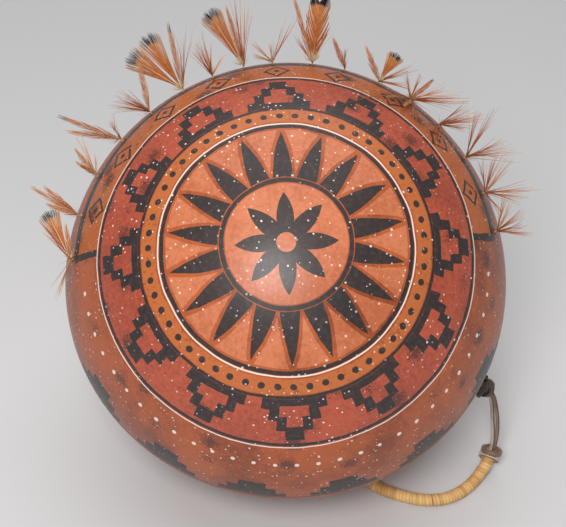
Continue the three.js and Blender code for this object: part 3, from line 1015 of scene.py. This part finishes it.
def gourd_paint():
    material, tree, shader, place = new_material("gourd_paint")
    reach, turn = face_places(tree, place)
    in_band = reach.between(BAND_START, BAND_END) * turn.absolute().below(BAND_TURN)
    mottle = noise(tree, place, 26, 4, 0.6)
    brush = noise(tree, place, 420, 4, 0.75)
    colour = ground_colour(tree, reach, in_band, mottle, brush)
    dark_teeth, light_teeth = teeth_ring(reach, turn)
    pink = mixed(tree, WARM_PINK, LIGHT_PINK, (mottle * 0.5 + brush * 0.5).ramp(0.38, 0.6))
    colour = mixed(tree, colour, pink, light_teeth.either(reach.below(STAR_EDGE)))
    dab_places = reach.between(SUN_START, RIM_LINE).either(reach.between(BAND_START, HILL_START) * 0.5)
    colour = mixed(tree, colour, STIPPLE, stipple_dabs(tree, place) * dab_places * 0.85)
    black = black_motifs(reach, turn, in_band, dark_teeth, mottle * 3 + 2.2)
    soot = mixed(tree, SOOT, WORN_SOOT, brush.ramp(0.45, 0.7))
    colour = mixed(tree, colour, soot, black * 0.97)
    white = white_lines(reach, turn)
    spatter_places = noise(tree, place, 14, 2).ramp(0.3, 0.6) * 0.8 + 0.2
    flecks = fleck_field(tree, place, 400, 0.8, 0.05, 0.26)
    drops = fleck_field(tree, place, 110, 0.6, 0.02, 0.075)
    spatter = flecks * spatter_places * 0.8
    colour = mixed(tree, colour, CHALK, (white * 0.88).either(spatter.either(drops * 0.9)))
    stem = reach.above(STEM_REACH)
    colour = mixed(tree, colour, BARK, stem)
    tree.links.new(colour, shader.inputs["Base Color"])
    streaks = noise(tree, place, 900, 3, 0.6)
    gloss = mottle * 0.22 + streaks * 0.2 + black * 0.04 + stem * 0.35 + 0.22
    relief = black * 0.25 + flecks * 0.6 + drops * 0.8 + brush * 0.6 + streaks * 0.35
    varnish(tree, shader, gloss, relief)
    return material


gourd_skin = gourd_paint()
gourd_mesh.name = "gourd_body"
gourd_mesh.shade_smooth()
gourd_mesh.set_sharp_from_angle(angle=math.radians(35))
gourd_mesh.materials.clear()
gourd_mesh.materials.append(gourd_skin)
gourd = bpy.data.objects.new("gourd_body", gourd_mesh)
bpy.context.scene.collection.objects.link(gourd)
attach(gourd, "root")
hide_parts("gourd")
print("gourd painted with", len(gourd_skin.node_tree.nodes), "nodes")

# %% [markdown]
# A feather is a shaft with two rows of barbs, and up close this crest is all fine ginger threads. Flat
# cards with a picture would look like paper, so every barb is a real thread: a thin three-sided tube of a
# few faces. One tube is made and cut into rings, and each copy is bent along a curve with three points.
# Each vertex keeps how far along its feather it lies, how black the tip is and how pale the thread is.

# %% Threads of a feather
BARB_RINGS = 6
BARB_SIDES = 3


class Barb:
    """One thread: a bent, tapered tube in the feather's own directions, and the numbers that colour it."""

    def __init__(self, start, middle, end, widths, shares, dark=0, pale=0):
        self.start, self.middle, self.end = (Vector(point) for point in (start, middle, end))
        self.widths = widths
        self.shares = shares
        self.dark = dark
        self.pale = pale

    def point(self, share):
        rest = 1 - share
        return self.start * rest * rest + self.middle * 2 * rest * share + self.end * share * share


def part_way(pair, share):
    """The number that lies a share of the way from the first of a pair to the second."""
    return pair[0] + (pair[1] - pair[0]) * share


def straight_tube():
    """The tube that every thread is bent from: one unit long, in rings, with its ends closed."""
    shape = bmesh.new()
    bmesh.ops.create_cone(
        shape, cap_ends=True, segments=BARB_SIDES, radius1=1, radius2=1, depth=1,
        matrix=Matrix.Translation((0, 0, 0.5)),
    )
    uprights = [edge for edge in shape.edges if abs(edge.verts[0].co.z - edge.verts[1].co.z) > 0.5]
    bmesh.ops.subdivide_edges(shape, edges=uprights, cuts=BARB_RINGS - 2)
    mesh = bpy.data.meshes.new("straight_tube")
    shape.to_mesh(mesh)
    shape.free()
    return mesh


def bend_barbs(shape, tube, barbs, placement):
    """Adds one bent copy of the tube for each thread and moves them all to their feather's place."""
    first = len(shape.verts)
    for _ in barbs:
        shape.from_mesh(tube)
    shape.verts.ensure_lookup_table()
    colour_layer = shape.verts.layers.float_vector["feather"]
    count = len(tube.vertices)
    for number, barb in enumerate(barbs):
        along = (barb.end - barb.start).normalized()
        side = along.orthogonal().normalized()
        up = along.cross(side)
        for corner in range(count):
            vertex = shape.verts[first + number * count + corner]
            share = vertex.co.z
            width = part_way(barb.widths, share) / 2
            place = barb.point(share) + (side * vertex.co.x + up * vertex.co.y) * width
            vertex.co = placement @ place
            vertex[colour_layer] = (part_way(barb.shares, share), barb.dark, barb.pale)


tube = straight_tube()
print("thread of", len(tube.vertices), "vertices and", len(tube.polygons), "faces")

# %% [markdown]
# Four kinds of feather make up the crest. A broad one is a broom: its low barbs end at the corners of a
# blunt top, and its high ones in the middle. A full one is shaped like a leaf. A narrow one keeps its
# barbs close to the shaft. A wisp is a few loose threads. Barbs are drawn in small clumps that move
# together, which opens the little splits that real feathers have. In the formulas, place runs from 0 at
# the lowest barb to 1 at the highest, and most numbers are shares of the feather's length.

# %% Kinds of feather
BROAD_WIDTH = 13.5 * MM
NARROW_WIDTH = 4.2 * MM
BROAD_BARBS = 84
NARROW_BARBS = 34
FULL_BARBS = 120
WISP_THREADS = 11
CLUMP = 7
FULL_BARB_LENGTH = 0.36
SHAFT = (0.75 * MM, 0.25 * MM)
BARB = (0.26 * MM, 0.1 * MM)
THREAD = (0.4 * MM, 0.1 * MM)
DOWN = (0.2 * MM, 0.08 * MM)


def shaft_barb(length, reach, pale):
    return Barb((0, 0, 0), (0, reach * length / 2, 0), (0, reach * length, 0), SHAFT, (0, reach), 0, pale)


def broad_feather(length, dark, pale, chance):
    """A fan with a blunt top; where its tip is dark, the black keeps to the middle."""
    half_width = min(BROAD_WIDTH, length * 0.55) / 2
    barbs = [shaft_barb(length, 0.86, 0.75)]
    for side in (-1, 1):
        for number in range(BROAD_BARBS):
            place = number / BROAD_BARBS
            if number % CLUMP == 0:
                clump = chance.uniform(-1, 1)
                lift = chance.uniform(-0.02, 0.02) * length
            start = (0.07 + 0.66 * place) * length
            stray = (clump * 0.4 + chance.uniform(-0.2, 0.2)) * MM
            across = side * half_width * (1 - place) ** 0.85 + stray
            end = length * (0.95 + clump * 0.03 + chance.uniform(-0.03, 0.05) - 0.07 * (1 - place) ** 2)
            middle = (across * 0.36, start + (end - start) * 0.48, lift * 0.5)
            black = dark * max(0, min(1, 1.9 - 2 * abs(across) / half_width))
            shares = (start / length, 1)
            tint = pale + chance.uniform(-0.22, 0.22)
            barbs.append(Barb((0, start, 0), middle, (across, end, lift), BARB, shares, black, tint))
    return barbs


def full_feather(length, dark, pale, chance):
    """A leaf-shaped vane: its barbs are of one length, so its sides run nearly parallel."""
    half_width = BROAD_WIDTH / 2
    barbs = [shaft_barb(length, 0.98, 0.85)]
    for side in (-1, 1):
        for number in range(FULL_BARBS):
            place = number / FULL_BARBS
            if number % CLUMP == 0:
                clump = chance.uniform(-1, 1)
            start = (0.08 + 0.82 * place) * length
            end = min(start + FULL_BARB_LENGTH * length, length * chance.uniform(0.97, 1.03))
            rounding = min(1, (end - start) / (FULL_BARB_LENGTH * length)) ** 0.7
            across = side * half_width * (0.92 + 0.1 * clump) * rounding * (1 - 0.15 * place)
            lift = (clump * 0.5 + chance.uniform(-0.2, 0.2)) * MM
            middle = (across * 0.6, start + (end - start) * 0.4, 0)
            shares = (start / length, end / length)
            tint = pale + chance.uniform(-0.25, 0.18)
            barbs.append(Barb((0, start, 0), middle, (across, end, lift), BARB, shares, dark, tint))
    return barbs


def narrow_feather(length, dark, pale, chance):
    """A slim blade that tapers to its tip."""
    half_width = min(NARROW_WIDTH, length * 0.2) / 2
    barbs = [shaft_barb(length, 0.97, 0.35 + pale)]
    for side in (-1, 1):
        for number in range(NARROW_BARBS):
            place = number / NARROW_BARBS
            if number % CLUMP == 0:
                clump = chance.uniform(0.75, 1.25)
            start = (0.04 + 0.8 * place) * length
            end = min(start + (0.3 - 0.12 * place) * length, length * chance.uniform(0.95, 1.02))
            taper = 1 - 0.75 * (end / length) ** 3
            across = side * half_width * taper * clump * chance.uniform(0.6, 1.1)
            lift = chance.uniform(-0.35, 0.35) * MM
            middle = (across * 0.6, start + (end - start) * 0.4, 0)
            shares = (start / length, end / length)
            tint = pale + chance.uniform(-0.25, 0.2)
            barbs.append(Barb((0, start, 0), middle, (across, end, lift), BARB, shares, dark, tint))
    return barbs


def wisp(length, dark, pale, chance):
    """A few loose threads from one root, with no shaft."""
    barbs = []
    for _ in range(WISP_THREADS):
        end = length * chance.uniform(0.7, 1.03)
        across = length * chance.gauss(0, 0.085)
        lift = length * chance.gauss(0, 0.06)
        bow = chance.uniform(-0.2, 0.6)
        middle = (across * bow, end * 0.52, lift * bow)
        root = (chance.uniform(-0.4, 0.4) * MM, 0, chance.uniform(-0.4, 0.4) * MM)
        tint = pale * chance.uniform(0.5, 1) + chance.uniform(-0.25, 0.18)
        barbs.append(Barb(root, middle, (across, end, lift), THREAD, (0, end / length), dark, tint))
    return barbs


def down(length, count, pale, chance):
    """Soft, curled threads round the foot of a feather."""
    barbs = []
    for _ in range(count):
        end = length * chance.uniform(0.5, 1)
        across = end * chance.uniform(-0.7, 0.7)
        lift = end * chance.uniform(-0.6, 0.6)
        middle = (across * 1.1, end * 0.45, lift * 1.1)
        root = (0, chance.uniform(0, 0.25) * length, 0)
        barbs.append(Barb(root, middle, (across * 0.8, end, lift * 0.8), DOWN, (0, 0.4), 0, pale))
    return barbs


print("four kinds of feather, and down")

# %% [markdown]
# Feather colour runs from rust at the root through ginger to a paler tan, with black or blue-black tips
# on some. The material reads it from the numbers that each thread carries. A little sheen and a soft gloss
# give the silky look of the barbs.

# %% Feather finish
RUST = paint(116, 54, 20)
GINGER = paint(178, 98, 40)
TAN = paint(204, 144, 84)
STRAW = paint(226, 196, 150)
BLUE_BLACK = paint(13, 13, 17)


def feather_material():
    material, tree, shader, place = new_material("feather_barbs")
    share, dark, pale = attribute_parts(tree, "feather")
    grain = noise(tree, place, 380, 3, 0.6)
    warm = mixed(tree, RUST, GINGER, (share + grain * 0.4).ramp(0.18, 0.62))
    sunned = mixed(tree, warm, TAN, (share * 0.7 + grain * 0.7).ramp(0.62, 1.15))
    rusty = mixed(tree, sunned, RUST, pale.ramp(0, -0.3) * 0.75)
    drawn = mixed(tree, rusty, STRAW, pale)
    tip = ((grain - 0.5) * 0.16 + share).ramp(0.83, 0.9) * dark
    tree.links.new(mixed(tree, drawn, BLUE_BLACK, tip), shader.inputs["Base Color"])
    gloss = grain * 0.25 + 0.4
    tree.links.new(gloss.socket, shader.inputs["Roughness"])
    shader.inputs["Sheen Weight"].default_value = 0.05
    shader.inputs["Specular IOR Level"].default_value = 0.35
    return material


feather_finish = feather_material()
print("feather finish with", len(feather_finish.node_tree.nodes), "nodes")

# %% [markdown]
# Every tuft is one piece that takes the place of its CAD node. Its feathers start just above the skin,
# as in the CAD, and their quills run on down into the drilled hole. Standing feathers are bent a little,
# to one side and the other in turn, and those that lie over the face are bent to follow the skin.

# %% Feather tufts
FEATHER_BEND = 0.1
FEATHER_ROOT = 1.4 * MM
QUILL_DEPTH = 5 * MM
QUILL = (0.7 * MM, 0.75 * MM)
DOWN_LENGTH = 7 * MM
DOWN_TINTS = {"broad": 0.85, "full": 0.85, "narrow": 0.3, "wisp": 0.3}
PALE_TINT = 0.55
DOWN_COUNTS = {"broad": 30, "full": 150, "narrow": 8, "wisp": 4}
MAKERS = {"broad": broad_feather, "full": full_feather, "narrow": narrow_feather, "wisp": wisp}


def bend_out(barbs, length, bend):
    """Bends a whole feather out of its plane, more towards its tip."""
    for barb in barbs:
        for point in (barb.start, barb.middle, barb.end):
            point.z += bend * length * (max(0, point.y) / length) ** 2


def feather_placement(skin, lean_along, lean_to_face):
    """The matrix that stands a feather on the skin, with its two leans in radians."""
    spot, normal, along, to_face = skin
    direction = normal * math.cos(lean_along) * math.cos(lean_to_face)
    direction += to_face * math.cos(lean_along) * math.sin(lean_to_face) + along * math.sin(lean_along)
    across = (along - direction * along.dot(direction)).normalized()
    turn = Matrix((across, direction, across.cross(direction))).transposed().to_4x4()
    return Matrix.Translation(spot + normal * FEATHER_ROOT) @ turn


def quill(skin, chance):
    """The end of a feather's shaft in its hole, given in the frame's own directions."""
    spot, normal, along, to_face = skin
    shift = along * chance.uniform(-0.8, 0.8) * MM + to_face * chance.uniform(-0.8, 0.8) * MM
    foot = spot - normal * QUILL_DEPTH + shift
    top = spot + normal * (FEATHER_ROOT + 0.2 * MM)
    return Barb(foot, (foot + top) / 2 + shift / 2, top, QUILL, (0, 0), 0, 0.4)


def tuft(number, azimuth, feathers):
    chance = random.Random(number)
    skin = skin_frame(CREST_POLAR, math.radians(azimuth))
    own_lean = ALTERNATE_LEAN if number % 2 == 1 else -ALTERNATE_LEAN
    shape = bmesh.new()
    shape.verts.layers.float_vector.new("feather")
    for place, (kind, lean_along, length_mm, *over_face) in enumerate(feathers):
        form, *look = kind.split()
        length = length_mm * MM
        dark = 1 if "black" in look else 0
        pale = PALE_TINT if "pale" in look else 0
        barbs = MAKERS[form](length, dark, pale, chance)
        barbs += down(min(DOWN_LENGTH, length * 0.3), DOWN_COUNTS[form], DOWN_TINTS[form], chance)
        standing_bend = FEATHER_BEND if place % 2 == 0 else -FEATHER_BEND / 2
        skin_bend = length / (2 * HALF_WIDTH)
        bend_out(barbs, length, skin_bend if over_face else standing_bend)
        lean_to_face = over_face[0] if over_face else own_lean
        placement = feather_placement(skin, math.radians(lean_along), math.radians(lean_to_face))
        bend_barbs(shape, tube, barbs, placement)
        bend_barbs(shape, tube, [quill(skin, chance)], Matrix.Identity(4))
    piece = finished_piece(f"feather_tuft_{number:02}", shape, feather_finish, 60)
    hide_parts(f"tuft_{number:02}")
    return piece


tufts = [tuft(number, azimuth, feathers) for number, (azimuth, feathers) in enumerate(CREST, 1)]
bpy.data.meshes.remove(tube)
print(len(tufts), "tufts of", sum(len(piece.data.polygons) for piece in tufts), "faces")

# %% [markdown]
# The floor is plain and pale, and the light is soft: a large key panel beside the camera, a wide even
# light from overhead, and a pale sky. The key stands near the camera, which puts the soft highlight in the
# middle of the face.

# %% Floor and lights
FLOOR_SIZE = 24
KEY_SPOT = (-0.12, -0.72, 0.86)
KEY_SIZE = 0.4
KEY_POWER = 9
SKY_TILT = math.radians(20)
SKY_WIDTH = math.radians(70)
SKY_LIGHT = 1.6
WORLD_COLOUR = (0.9, 0.92, 0.95, 1)
WORLD_STRENGTH = 0.26


def pale_floor():
    shape = bmesh.new()
    bmesh.ops.create_grid(shape, x_segments=1, y_segments=1, size=FLOOR_SIZE / 2)
    mesh = bpy.data.meshes.new("floor")
    shape.to_mesh(mesh)
    shape.free()
    material, tree, shader, place = new_material("pale_floor")
    cloud = noise(tree, place, 3, 2)
    tint = mixed(tree, paint(196, 195, 196), paint(202, 201, 201), cloud)
    tree.links.new(tint, shader.inputs["Base Color"])
    shader.inputs["Roughness"].default_value = 0.85
    mesh.materials.append(material)
    floor = bpy.data.objects.new("floor", mesh)
    bpy.context.scene.collection.objects.link(floor)


def soft_panel(name, spot, target, size, power):
    lamp_data = bpy.data.lights.new(name, "AREA")
    lamp_data.shape = "DISK"
    lamp_data.size = size
    lamp_data.energy = power
    lamp = bpy.data.objects.new(name, lamp_data)
    lamp.location = spot
    lamp.rotation_euler = (Vector(target) - Vector(spot)).to_track_quat("-Z", "Y").to_euler()
    bpy.context.scene.collection.objects.link(lamp)


def soft_sky(tilt_back, width, strength):
    """A wide, even light from overhead, tipped towards the back."""
    lamp_data = bpy.data.lights.new("soft_sky", "SUN")
    lamp_data.angle = width
    lamp_data.energy = strength
    lamp = bpy.data.objects.new("soft_sky", lamp_data)
    lamp.rotation_euler = (-tilt_back, 0, 0)
    bpy.context.scene.collection.objects.link(lamp)


pale_floor()
soft_panel("key", KEY_SPOT, GOURD_CENTRE, KEY_SIZE, KEY_POWER)
soft_sky(SKY_TILT, SKY_WIDTH, SKY_LIGHT)
world = bpy.data.worlds.new("even_sky")
world.use_nodes = True
background = world.node_tree.nodes["Background"]
background.inputs["Color"].default_value = WORLD_COLOUR
background.inputs["Strength"].default_value = WORLD_STRENGTH
bpy.context.scene.world = world
bpy.context.scene.view_settings.view_transform = "Standard"
print("floor, key panel and soft sky")
